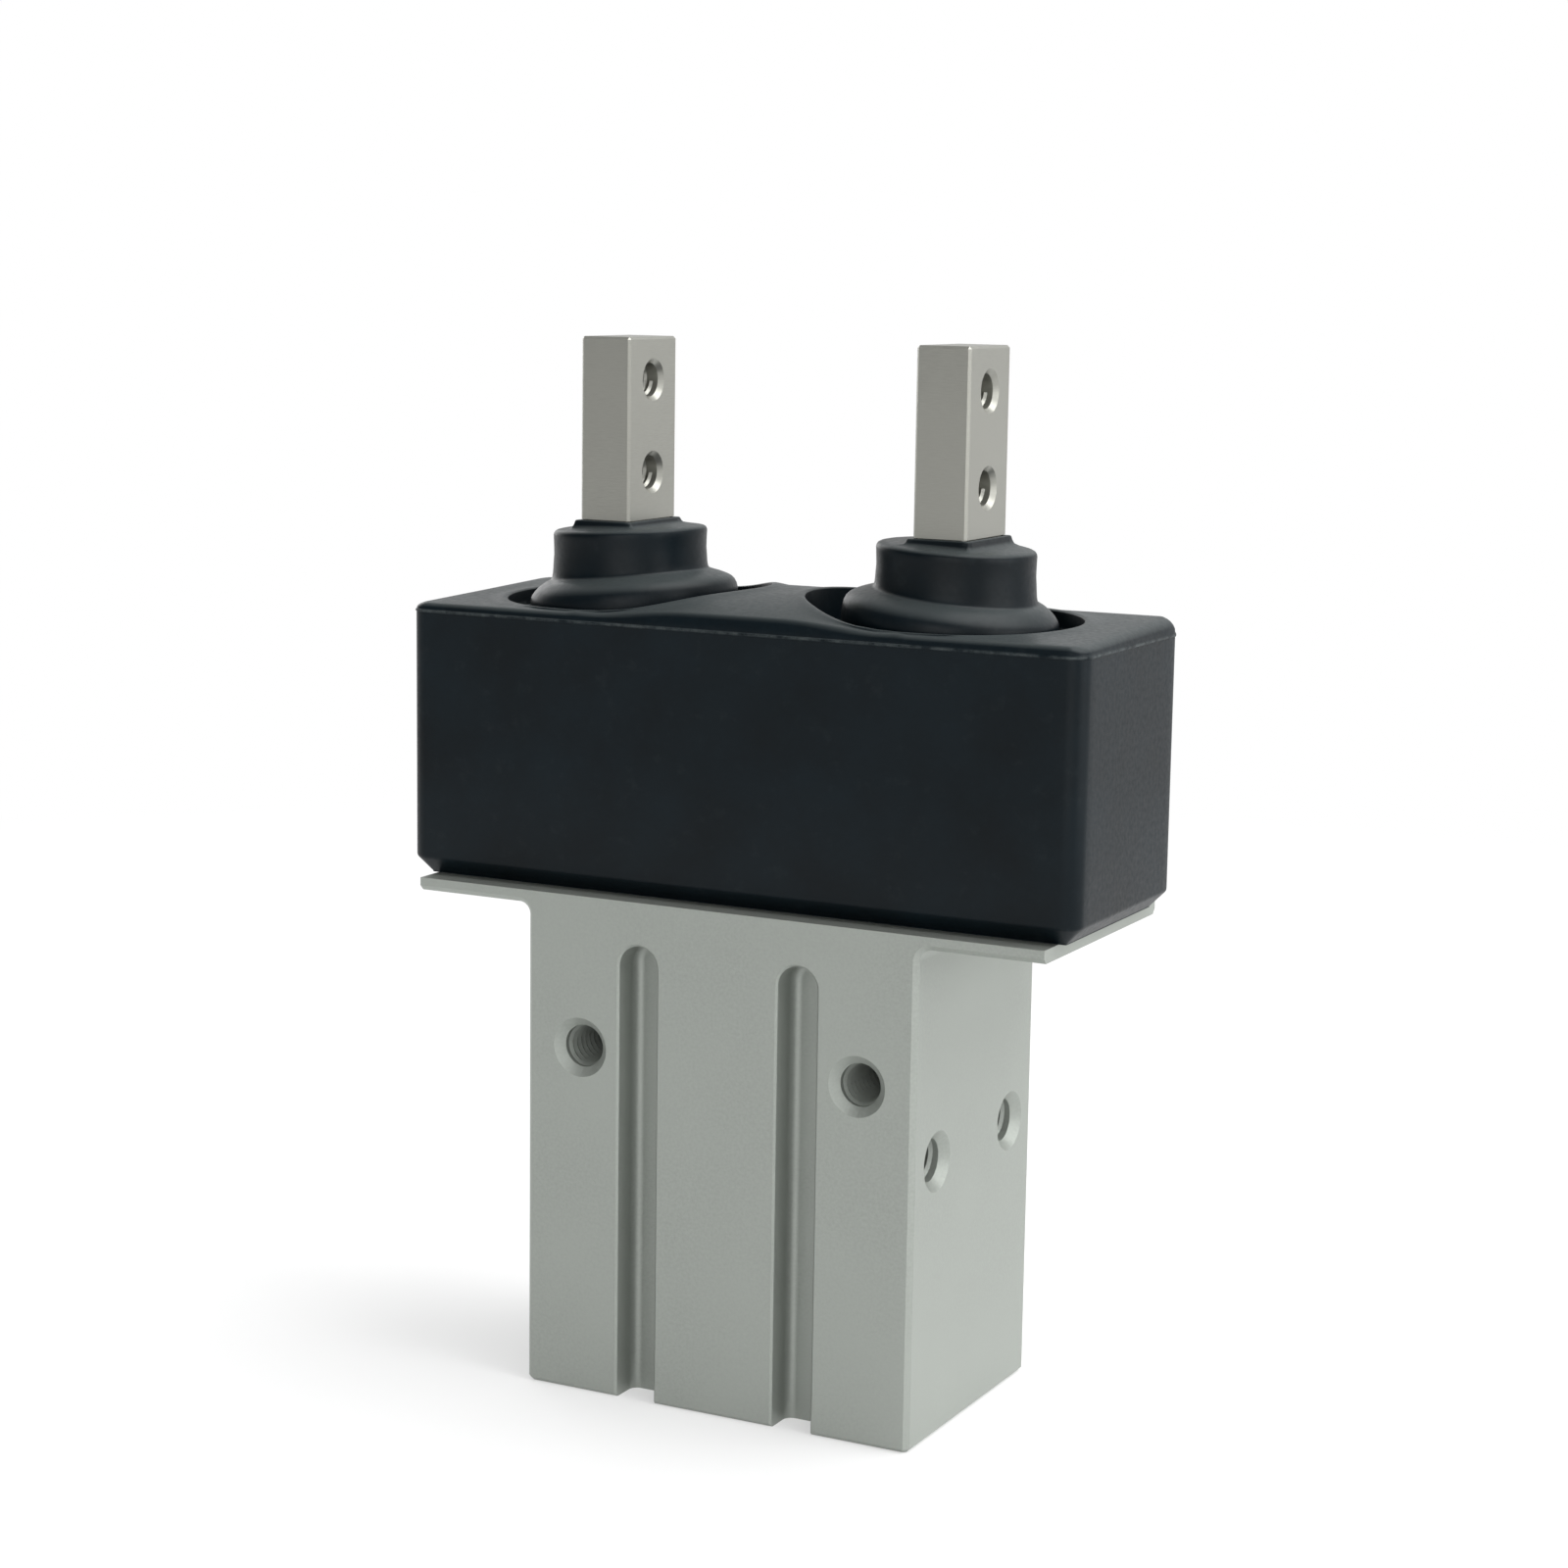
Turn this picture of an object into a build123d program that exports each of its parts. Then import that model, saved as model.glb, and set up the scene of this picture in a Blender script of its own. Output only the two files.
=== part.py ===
from build123d import *
import math
import os

# A two-finger parallel air gripper with a rubber dust cover, standing on its foot with the fingers up.
# X runs along the jaw travel, Y from front to back, and Z up from the centre of the foot.
# Sizes are millimetres and angles are degrees. The jaws are fully open.

# Working allowances: how far a cutter passes a face, how far joined shapes run into each other, and
# how near counts as the same place
past = 1.0
overlap = 0.5
near = 0.01

# Chamfer of the small turned pieces
small_edge = 0.3

# Body casting
body_width = 42.0
body_depth = 27.6
body_edge = 0.5
foot_edge = 0.4
flange_length = 67.0
flange_thickness = 1.3
flange_fillet = 1.2
land_length = 61.0
land_depth = 17.4
land_height = 1.5

# Foot: centring recess and tapped holes
recess_diameter = 21.0
recess_depth = 1.5
foot_hole_spacing = 30.0
foot_hole_depth = 10.0
m5_core = 4.2
m5_mouth = 5.9
drill_tip_radius = 0.3
drill_tip_height = 1.05

# Tapped cross holes that fasten the body from the front or the back
side_hole_spacing = 30.0
side_hole_height = 34.8

# Air ports in the right-hand face and the drillings behind them
port_height = 27.2
port_spacing = 17.0
port_depth = 5.5
air_drill = 1.6
air_drill_offset = 7.4

# Grooves for position switches
switch_groove_spacing = 17.2
switch_groove_width = 4.2
switch_groove_depth = 3.5
switch_groove_end_gap = 3.0
switch_groove_floor_radius = 0.9
switch_groove_rim = 0.2

# Cylinder, end cap and retaining ring
bore_diameter = 20.0
ring_thickness = 1.0
ring_width = 1.6
ring_groove_depth = 0.7
ring_side_play = 0.05
ring_gap = 5.0
ring_ear_radius = 1.3
ring_ear_hole = 1.2
ring_ear_offset = 1.0
ring_ear_inset = 0.5
ring_wall = 0.3
cap_clearance = 0.02
cap_thickness = 4.4
stop_diameter = 12.0
stop_height = 4.383
bumper_thickness = 1.4
bumper_gap = 0.4
o_ring_section = 1.8
o_ring_groove_play = 0.15
o_ring_fit = 0.01

# Piston, seal, magnet and rod
piston_clearance = 0.1
piston_length = 12.0
piston_end_gap = 0.1
piston_edge = 0.4
seal_height = 2.4
seal_depth = 2.2
seal_clearance = 0.02
seal_lip = 0.4
seal_lip_height = 1.1
seal_valley = 0.5
seal_valley_depth = 1.3
seal_groove_rise = 2.0
groove_spacing = 1.6
magnet_height = 3.0
magnet_depth = 2.0
magnet_inset = 0.2
rod_diameter = 8.0
rod_clearance = 0.03
rod_seal_diameter = 13.0
rod_seal_height = 2.8
retainer_thickness = 1.2
retainer_gap = 0.3
spigot_diameter = 5.0
spigot_inset = 0.6
piston_screw_core = 3.2
piston_screw_head = 7.0
piston_screw_head_height = 2.2
piston_screw_length = 9.0
piston_screw_socket = 2.8
socket_depth = 1.3
screw_hole_spare = 0.5
neck_diameter = 4.0
rod_head_thickness = 1.6

# Bell-crank levers and their shafts
lever_pivot_x = 9.0
pivot_above_bore = 15.0
pivot_below_flange = 4.0
lever_inner_arm = 7.0
lever_outer_arm = 12.0
lever_thickness = 8.0
lever_boss = 3.5
inner_tip = 1.9
inner_neck = 1.5
outer_tip = 2.2
outer_neck = 1.7
fork_gap = 4.4
fork_floor_gap = 1.0
lever_root_inset = 0.3
lever_taper = 1.0
lever_gusset = 0.6
tip_clearance = 0.05
shaft_diameter = 4.0
shaft_length = 15.6
shaft_running_clearance = 0.03
shaft_seat_clearance = 0.02

# Cavity for the levers
cavity_side_clearance = 0.2
cavity_end_clearance = 0.7
cavity_floor_clearance = 0.4
cavity_corner = 1.0
well_half_length = 5.0
well_depth = 7.0
window_clearance = 0.5

# Linear guide
guide_end_margin = 6.0
guide_depth = 20.4
guide_height = 13.0
guide_edge = 0.4
channel_floor = 3.8
finger_base_depth = 10.2
channel_side_gap = 0.5
channel_floor_gap = 0.4
ball_diameter = 2.4
ball_height = 10.1
ball_clearance = 0.03
balls_per_row = 4
ball_pitch = 3.6
stop_pin_diameter = 2.0
stop_pin_length = 6.0
stop_pin_inset = 2.6
stop_pin_sink = 0.2
leg_clearance = 0.05
guide_screw_x = 17.6
guide_screw_y = 2.8
guide_screw_diameter = 2.5
guide_screw_length = 12.0
guide_screw_head = 4.5
guide_screw_head_height = 2.5
guide_screw_socket = 2.0
guide_screw_head_edge = 0.2
screw_clearance = 0.1

# Fingers
finger_open_x = 18.0
finger_stroke = 5.0
finger_width = 5.5
finger_depth = 9.2
finger_reach = 53.4
finger_edge = 0.25
finger_seat_step = 0.3
finger_hole_spacing = 9.0
finger_hole_from_top = 4.2
m4_core = 3.3
m4_mouth = 4.2
base_gap_closed = 1.0
base_outer_reach = 8.0
base_height = 11.0
base_fillet = 2.0
notch_headroom = 0.5

# Dust cover
cover_end_gap = 2.15
cover_side_gap = 0.2
cover_height = 27.7
cover_crown = 2.2
crown_end_gap = 19.85
cover_wall = 1.7
cover_roof = 1.6
cover_corner = 1.8
cover_top_round = 1.3
cover_bottom_bevel = 1.6
lip_clearance = 0.1
recess_end_margin = 5.8
recess_side_margin = 1.4
recess_spacing = 6.3
recess_sink = 1.8
recess_floor_thickness = 1.3
recess_wall = 1.2
stem_clearance = 0.3

# Bellows, one round each finger
bellows_gap = 0.3
bellows_wall = 1.0
fold_radius = 9.5
fold_round = 2.0
crease_radius = 7.0
crease_height = 0.6
foot_bevel = 0.8
collar_radius = 7.5
collar_rise = 2.4
collar_height = 4.7
collar_crown = 0.5
collar_roof = 2.4
collar_round = 0.7
collar_fit = 0.05
seat_above_collar = 0.3

# Places that follow from the sizes above, from the foot up
swing = math.degrees(math.asin(finger_stroke / 2 / lever_outer_arm))
rod_half_travel = lever_inner_arm * math.sin(math.radians(swing))
rod_travel = 2 * rod_half_travel
cap_bottom = recess_depth + ring_wall + ring_thickness
cap_top = cap_bottom + cap_thickness
stop_top = cap_top + stop_height + bumper_thickness
piston_bottom = stop_top + piston_end_gap + rod_travel
piston_top = piston_bottom + piston_length
bore_top = piston_top + piston_end_gap + bumper_thickness
lever_pivot_height = bore_top + pivot_above_bore
spool_centre = lever_pivot_height + rod_half_travel
well_floor = lever_pivot_height - well_depth
body_height = lever_pivot_height + pivot_below_flange
switch_groove_top = body_height - switch_groove_end_gap
flange_top = body_height + flange_thickness
land_top = flange_top + land_height
guide_top = land_top + guide_height
finger_top = flange_top + finger_reach
cover_end_height = flange_top + cover_height
collar_bottom = cover_end_height + collar_rise
collar_top = collar_bottom + collar_height
cover_top = cover_end_height + cover_crown
roof_underside = cover_end_height - cover_roof
recess_floor = cover_end_height - recess_sink
channel_bottom = land_top + channel_floor
channel_half = finger_base_depth / 2 + channel_side_gap
base_bottom = channel_bottom + channel_floor_gap
base_top = base_bottom + base_height
seat_top = collar_top + collar_crown + seat_above_collar
ball_centre_y = finger_base_depth / 2 + channel_side_gap / 2
ball_centre_z = land_top + ball_height
base_inner_x = finger_stroke + base_gap_closed / 2
base_outer_x = finger_open_x + base_outer_reach
guide_half_length = base_outer_x + guide_end_margin
cover_half_length = guide_half_length + cover_end_gap + cover_wall
cover_half_depth = guide_depth / 2 + cover_side_gap + cover_wall
crown_half_length = cover_half_length - crown_end_gap
recess_length = cover_half_length - recess_end_margin - recess_spacing / 2
recess_width = 2 * (cover_half_depth - recess_side_margin)
recess_x = (recess_length + recess_spacing) / 2
seat_half_width = finger_width / 2 - finger_seat_step
seat_half_depth = finger_depth / 2 - finger_seat_step
cavity_half_width = lever_thickness / 2 + cavity_side_clearance
cavity_half_length = lever_pivot_x + lever_boss + cavity_end_clearance
cavity_floor = lever_pivot_height - lever_boss - cavity_floor_clearance
window_half_length = lever_pivot_x + finger_stroke / 2 + outer_tip + window_clearance

OUT = "parts"
SIDES = {"left": -1, "right": 1}


def block(x, y, z):
    """A box between pairs of limits along X, Y and Z."""
    size = [limits[1] - limits[0] for limits in (x, y, z)]
    middle = [(limits[0] + limits[1]) / 2 for limits in (x, y, z)]
    return Pos(*middle) * Box(*size)


def upright(radius, z0, z1, x=0.0, y=0.0):
    """A cylinder along Z between two heights."""
    return Pos(x, y, (z0 + z1) / 2) * Cylinder(radius, z1 - z0)


def along_y(radius, y0, y1, x, z):
    """A cylinder along Y between two depths."""
    return Pos(x, (y0 + y1) / 2, z) * Rot(90, 0, 0) * Cylinder(radius, y1 - y0)


def along_x(radius, x0, x1, y, z):
    """A cylinder along X between two places."""
    return Pos((x0 + x1) / 2, y, z) * Rot(0, 90, 0) * Cylinder(radius, x1 - x0)


def turned(points):
    """The solid that a closed outline of radius and height points sweeps round Z."""
    outline = Polyline(*[(r, 0, z) for r, z in points], close=True)
    return revolve(make_face(outline), Axis.Z)


def tube(outer, inner, z0, z1):
    """A plain ring between two heights."""
    return upright(outer, z0, z1) - upright(inner, z0 - past, z1 + past)


def mouth(wide, narrow, centre, direction):
    """A countersink whose wide end lies at a point on a face and opens along a direction."""
    depth = (wide - narrow) / 2
    cone = Cone(narrow / 2, wide / 2, depth, align=(Align.CENTER, Align.CENTER, Align.MAX))
    return Plane(origin=centre, z_dir=direction) * cone


def front_outline():
    """The T shape that the body has when seen from the front."""
    half, reach = body_width / 2, flange_length / 2
    outline = Polyline(
        (-half, 0, 0), (half, 0, 0), (half, 0, body_height), (reach, 0, body_height),
        (reach, 0, flange_top), (-reach, 0, flange_top), (-reach, 0, body_height),
        (-half, 0, body_height), close=True)
    face = make_face(outline)
    inner = [v for v in face.vertices() if abs(abs(v.X) - half) < near and v.Z > body_height / 2]
    return fillet(inner, flange_fillet)


def groove_outline(x, y, half):
    """A switch groove seen from the front: straight sides under a round end."""
    arch_centre = switch_groove_top - switch_groove_width / 2
    sides = Polyline((x - half, y, arch_centre), (x - half, y, -half), (x + half, y, -half),
                     (x + half, y, arch_centre))
    arch = ThreePointArc((x + half, y, arch_centre), (x, y, arch_centre + half), (x - half, y, arch_centre))
    return make_face([sides, arch])


def switch_groove(x, facing):
    """The cutter of one switch groove; facing is -1 on the front and 1 on the back."""
    half, face_y = switch_groove_width / 2, facing * body_depth / 2
    cutter = extrude(groove_outline(x, face_y, half), amount=switch_groove_depth, dir=(0, -facing, 0))
    floor = cutter.faces().sort_by(Axis.Y)[0 if facing > 0 else -1]
    cutter = fillet(floor.edges(), switch_groove_floor_radius)
    rim_y = face_y - facing * switch_groove_rim
    rim = [groove_outline(x, face_y, half + switch_groove_rim), groove_outline(x, rim_y, half)]
    return cutter + loft(rim)


def lever_cavity():
    """The slot in which the levers swing, with the deeper well for the rod's head."""
    slot = block((-cavity_half_length, cavity_half_length), (-cavity_half_width, cavity_half_width),
                 (cavity_floor, land_top + past))
    slot = fillet(slot.edges().filter_by(Axis.Z), cavity_corner)
    well = block((-well_half_length, well_half_length), (-cavity_half_width, cavity_half_width),
                 (well_floor, land_top))
    return slot + fillet(well.edges().filter_by(Axis.Z), cavity_corner)


def shaft_seats():
    """Open-topped seats for the two lever shafts."""
    radius = shaft_diameter / 2 + shaft_seat_clearance
    half = shaft_length / 2 + shaft_seat_clearance
    seats = Part()
    for side in SIDES.values():
        x = side * lever_pivot_x
        seats += along_y(radius, -half, half, x, lever_pivot_height)
        seats += block((x - radius, x + radius), (-half, half), (lever_pivot_height, land_top + past))
    return seats


def air_drillings():
    """Ports with their mouths, and the two drillings that lead from them to the cylinder."""
    cut = Part()
    face_x = body_width / 2
    floor_x = face_x - port_depth
    for facing in (-1, 1):
        y = facing * port_spacing / 2
        cut += along_x(m5_core / 2, floor_x, face_x + past, y, port_height)
        cut += mouth(m5_mouth, m5_core, (face_x, y, port_height), (1, 0, 0))
    wall_x = math.sqrt((bore_diameter / 2) ** 2 - air_drill_offset**2)
    cut += along_x(air_drill / 2, wall_x - past, floor_x + overlap, air_drill_offset, port_height)
    start = Vector(floor_x + overlap, -air_drill_offset, port_height)
    end = Vector(wall_x - overlap, -air_drill_offset, cap_top + air_drill)
    path = end - start
    slant = Cylinder(air_drill / 2, path.length, align=(Align.CENTER, Align.CENTER, Align.MIN))
    return cut + Plane(origin=start, z_dir=path) * slant


def body():
    """Body casting with its flange, cylinder, lever cavity, grooves, holes and ports."""
    shape = extrude(front_outline(), amount=body_depth / 2, both=True)
    edges = [e for e in shape.edges().filter_by(Axis.Z)
             if abs(abs(e.center().X) - body_width / 2) < near]
    shape = chamfer(edges, body_edge)
    shape = chamfer(shape.faces().sort_by(Axis.Z)[0].edges(), foot_edge)
    shape += block((-land_length / 2, land_length / 2), (-land_depth / 2, land_depth / 2),
                   (flange_top - overlap, land_top))
    bore = bore_diameter / 2
    shape -= upright(recess_diameter / 2, -past, recess_depth)
    shape -= upright(bore, 0, bore_top)
    ring_bottom = cap_bottom - ring_thickness - ring_side_play
    shape -= upright(bore + ring_groove_depth, ring_bottom, cap_bottom + ring_side_play)
    shape -= upright(rod_seal_diameter / 2, bore_top - past, bore_top + retainer_thickness + rod_seal_height)
    shape -= upright(rod_diameter / 2 + rod_clearance, bore_top, land_top)
    shape -= lever_cavity() + shaft_seats() + air_drillings()
    for side in SIDES.values():
        x = side * side_hole_spacing / 2
        shape -= along_y(m5_core / 2, -body_depth, body_depth, x, side_hole_height)
        for facing in (-1, 1):
            place = (x, facing * body_depth / 2, side_hole_height)
            shape -= mouth(m5_mouth, m5_core, place, (0, facing, 0))
            shape -= switch_groove(side * switch_groove_spacing / 2, facing)
        foot_x = side * foot_hole_spacing / 2
        shape -= upright(m5_core / 2, -past, foot_hole_depth, foot_x)
        shape -= Pos(foot_x, 0, foot_hole_depth) * Cone(
            m5_core / 2, drill_tip_radius, drill_tip_height, align=(Align.CENTER, Align.CENTER, Align.MIN))
        shape -= mouth(m5_mouth, m5_core, (foot_x, 0, 0), (0, 0, -1))
        for y in (-guide_screw_y, guide_screw_y):
            floor = channel_bottom - guide_screw_head_height - guide_screw_length - screw_hole_spare
            shape -= upright(guide_screw_diameter / 2, floor, land_top + past, side * guide_screw_x, y)
    return shape


def end_cap():
    """Cap that closes the cylinder, with its O-ring groove and the stop under the piston."""
    radius = bore_diameter / 2 - cap_clearance
    cap = upright(radius, cap_bottom, cap_top)
    cap = chamfer(cap.edges(), small_edge)
    cap += upright(stop_diameter / 2, cap_top - overlap, stop_top - bumper_thickness)
    middle = (cap_bottom + cap_top) / 2
    groove_half = o_ring_section / 2 + o_ring_groove_play
    cap -= tube(radius + past, bore_diameter / 2 - o_ring_section, middle - groove_half, middle + groove_half)
    return cap


def end_cap_o_ring():
    """O-ring between the cap and the cylinder wall."""
    middle = (cap_bottom + cap_top) / 2
    section = o_ring_section / 2
    return Pos(0, 0, middle) * Torus(bore_diameter / 2 - section - o_ring_fit, section - o_ring_fit)


def retaining_ring():
    """Open spring ring with two pierced ears that holds the cap in."""
    bottom, top = cap_bottom - ring_thickness, cap_bottom
    outer = bore_diameter / 2 + ring_groove_depth - ring_side_play
    ring = tube(outer, outer - ring_width, bottom, top)
    ring -= block((-ring_gap / 2, ring_gap / 2), (0, outer + past), (bottom - past, top + past))
    ear_x = ring_gap / 2 + ring_ear_offset
    ear_y = outer - ring_width - ring_ear_inset
    for side in SIDES.values():
        ring += upright(ring_ear_radius, bottom, top, side * ear_x, ear_y)
    for side in SIDES.values():
        ring -= upright(ring_ear_hole / 2, bottom - past, top + past, side * ear_x, ear_y)
    return ring


def head_bumper():
    """Rubber pad on the cap's stop, under the piston."""
    inner = piston_screw_head / 2 + bumper_gap
    return tube(stop_diameter / 2, inner, stop_top - bumper_thickness, stop_top)


def rod_bumper():
    """Rubber ring at the top of the cylinder, above the piston."""
    outer, inner = bore_diameter / 2 - bumper_gap, rod_seal_diameter / 2 + bumper_gap
    return tube(outer, inner, bore_top - bumper_thickness, bore_top)


def rod_seal():
    """Lip seal round the rod in the wall above the cylinder."""
    bottom = bore_top + retainer_thickness
    top = bottom + rod_seal_height
    inner, outer = rod_diameter / 2 + seal_clearance, rod_seal_diameter / 2
    middle = (inner + outer) / 2
    return turned([
        (inner, bottom), (middle - seal_valley, bottom), (middle, bottom + seal_valley_depth),
        (middle + seal_valley, bottom), (outer, bottom), (outer, top), (inner + seal_lip, top),
        (inner + seal_lip, top - seal_lip_height), (inner, top - seal_lip_height - seal_lip)])


def rod_seal_retainer():
    """Washer that holds the rod seal in its pocket."""
    inner = rod_diameter / 2 + retainer_gap
    return tube(rod_seal_diameter / 2, inner, bore_top, bore_top + retainer_thickness)


def seal_groove_limits():
    """Bottom and top of the piston's seal groove."""
    bottom = piston_bottom + seal_groove_rise
    return bottom, bottom + seal_height


def magnet_groove_limits():
    """Bottom and top of the piston's magnet groove."""
    bottom = seal_groove_limits()[1] + groove_spacing
    return bottom, bottom + magnet_height


def piston():
    """Piston with grooves for its seal and its magnet."""
    radius = bore_diameter / 2 - piston_clearance
    shape = upright(radius, piston_bottom, piston_top)
    shape = chamfer(shape.edges(), piston_edge)
    for (bottom, top), depth in ((seal_groove_limits(), seal_depth), (magnet_groove_limits(), magnet_depth)):
        shape -= tube(radius + past, radius - depth, bottom, top)
    shape -= upright(spigot_diameter / 2, piston_bottom - past, piston_top + past)
    shape -= upright(piston_screw_head / 2 + screw_clearance, piston_bottom - past,
                     piston_bottom + piston_screw_head_height)
    return shape


def piston_seal():
    """Lip seal in the piston's lower groove."""
    bottom, top = seal_groove_limits()
    inner = bore_diameter / 2 - piston_clearance - seal_depth
    lip = bore_diameter / 2 - seal_clearance
    waist = (bottom + top) / 2
    return turned([(inner, bottom), (lip - seal_lip, bottom), (lip, bottom + seal_lip),
                   (lip - seal_lip, waist), (lip, top - seal_lip), (lip - seal_lip, top), (inner, top)])


def magnet():
    """Ring magnet that the position switches sense."""
    bottom, top = magnet_groove_limits()
    radius = bore_diameter / 2 - piston_clearance
    return tube(radius - magnet_inset, radius - magnet_depth, bottom, top)


def piston_rod():
    """Rod with a spigot in the piston and a spool head that carries the levers' inner ends."""
    spigot_bottom = piston_bottom + piston_screw_head_height + spigot_inset
    groove_half = inner_tip + tip_clearance
    radius = rod_diameter / 2
    rod = upright(spigot_diameter / 2, spigot_bottom, piston_top)
    rod += upright(radius, piston_top, spool_centre - groove_half)
    neck_bottom, neck_top = spool_centre - groove_half, spool_centre + groove_half
    rod += upright(neck_diameter / 2, neck_bottom - overlap, neck_top + overlap)
    head = upright(radius, neck_top, neck_top + rod_head_thickness)
    rod += chamfer(head.edges().group_by(Axis.Z)[-1], piston_edge)
    screw_end = piston_bottom + piston_screw_head_height + piston_screw_length
    rod -= upright(piston_screw_core / 2, spigot_bottom - past, screw_end)
    return rod


def piston_screw():
    """Low-headed socket screw that joins the piston to its rod."""
    seat = piston_bottom + piston_screw_head_height
    head_bottom = piston_bottom + screw_clearance
    screw = upright(piston_screw_head / 2, head_bottom, seat)
    screw = chamfer(screw.edges().group_by(Axis.Z)[0], small_edge)
    screw += upright(piston_screw_core / 2, seat, seat + piston_screw_length - screw_hole_spare)
    hexagon = Pos(0, 0, head_bottom - past) * RegularPolygon(piston_screw_socket / 2, 6)
    return screw - extrude(hexagon, amount=past + socket_depth)


def lever(side):
    """Bell crank: a forked inner arm for the rod's head and an upright outer arm for the finger."""
    half = lever_thickness / 2

    def plate(points):
        """A flat part of the lever from its outline in X and Z."""
        outline = Polyline(*[(x, 0, z) for x, z in points], close=True)
        return extrude(make_face(outline), amount=half, both=True)

    shape = along_y(lever_boss, -half, half, 0, 0)
    shape += along_y(inner_tip, -half, half, -lever_inner_arm, 0)
    shape += along_y(outer_tip, -half, half, 0, lever_outer_arm)
    root, taper_end, gusset_end = (lever_boss + d for d in (-lever_root_inset, lever_taper, lever_gusset))
    shape += plate([(-lever_inner_arm, -inner_neck), (-taper_end, -inner_neck), (0, -root),
                    (0, root), (-taper_end, inner_neck), (-lever_inner_arm, inner_neck)])
    shape += plate([(-outer_neck, lever_outer_arm), (-outer_neck, taper_end), (-root, 0),
                    (root, 0), (outer_neck, taper_end), (outer_neck, lever_outer_arm)])
    shape += plate([(-gusset_end, inner_neck), (-outer_neck, gusset_end), (0, 0)])
    shape -= along_y(shaft_diameter / 2 + shaft_running_clearance, -half - past, half + past, 0, 0)
    fork_floor = -lever_inner_arm + neck_diameter / 2 + fork_floor_gap
    shape -= block((-lever_inner_arm - inner_tip - past, fork_floor), (-fork_gap / 2, fork_gap / 2),
                   (-inner_tip - past, inner_tip + past))
    opened = Rot(0, swing, 0) * shape
    placed = Pos(lever_pivot_x, 0, lever_pivot_height) * opened
    return placed if side > 0 else mirror(placed, about=Plane.YZ)


def lever_shaft(side):
    """Hardened pin on which a lever turns."""
    half = shaft_length / 2
    pin = along_y(shaft_diameter / 2, -half, half, side * lever_pivot_x, lever_pivot_height)
    return chamfer(pin.edges(), small_edge)


def guide_screw_places():
    """Centres of the guide's screws."""
    return [(side * guide_screw_x, y) for side in SIDES.values() for y in (-guide_screw_y, guide_screw_y)]


def stop_pin_places():
    """Centres of the pins that keep the balls in."""
    x = guide_half_length - stop_pin_inset
    return [(side * x, facing * ball_centre_y) for side in SIDES.values() for facing in (-1, 1)]


def finger_guide():
    """Steel channel in which both fingers run, with its ball grooves and the legs on the lever shafts."""
    half_x, half_y = guide_half_length, guide_depth / 2
    guide = block((-half_x, half_x), (-half_y, half_y), (land_top, guide_top))
    guide = chamfer(guide.edges().filter_by(Axis.Z), guide_edge)
    guide = chamfer(guide.faces().sort_by(Axis.Z)[-1].edges(), guide_edge)
    guide -= block((-half_x - past, half_x + past), (-channel_half, channel_half),
                   (channel_bottom, guide_top + past))
    guide -= block((-window_half_length, window_half_length), (-cavity_half_width, cavity_half_width),
                   (land_top - past, channel_bottom + past))
    for facing in (-1, 1):
        guide -= along_x(ball_diameter / 2 + ball_clearance, -half_x - past, half_x + past,
                         facing * ball_centre_y, ball_centre_z)
    for x, y in guide_screw_places():
        guide -= upright(guide_screw_diameter / 2 + screw_clearance, land_top - past, channel_bottom, x, y)
        guide -= upright(guide_screw_head / 2 + screw_clearance, channel_bottom - guide_screw_head_height,
                         channel_bottom + past, x, y)
    for x, y in stop_pin_places():
        guide -= upright(stop_pin_diameter / 2, guide_top - stop_pin_length, guide_top + past, x, y)
    leg_half = shaft_diameter / 2 - leg_clearance
    leg_bottom = lever_pivot_height + shaft_diameter / 2 + leg_clearance
    for side in SIDES.values():
        x = side * lever_pivot_x
        for limits in ((cavity_half_width, shaft_length / 2), (-shaft_length / 2, -cavity_half_width)):
            guide += block((x - leg_half, x + leg_half), limits, (leg_bottom, land_top + overlap))
    return guide


def guide_screws():
    """Four socket screws that fasten the guide to the body."""
    screws = []
    seat = channel_bottom - guide_screw_head_height
    for x, y in guide_screw_places():
        head = upright(guide_screw_head / 2, seat, channel_bottom, x, y)
        head = chamfer(head.edges().group_by(Axis.Z)[-1], guide_screw_head_edge)
        shank = upright(guide_screw_diameter / 2, seat - guide_screw_length, seat, x, y)
        hexagon = Pos(x, y, channel_bottom - socket_depth) * RegularPolygon(guide_screw_socket / 2, 6)
        socket = extrude(hexagon, amount=socket_depth + past)
        screws.append(head + shank - socket)
    return Compound(screws)


def ball_stop_pins():
    """Pins at the ends of the ball grooves."""
    bottom, top = guide_top - stop_pin_length, guide_top - stop_pin_sink
    return Compound([upright(stop_pin_diameter / 2, bottom, top, x, y) for x, y in stop_pin_places()])


def balls(side):
    """The two rows of steel balls beside one finger."""
    row_middle = (base_inner_x + base_outer_x) / 2 - finger_stroke / 4
    found = []
    for facing in (-1, 1):
        for n in range(balls_per_row):
            x = row_middle + (n - (balls_per_row - 1) / 2) * ball_pitch
            found.append(Pos(side * x, facing * ball_centre_y, ball_centre_z) * Sphere(ball_diameter / 2))
    return Compound(found)


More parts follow.
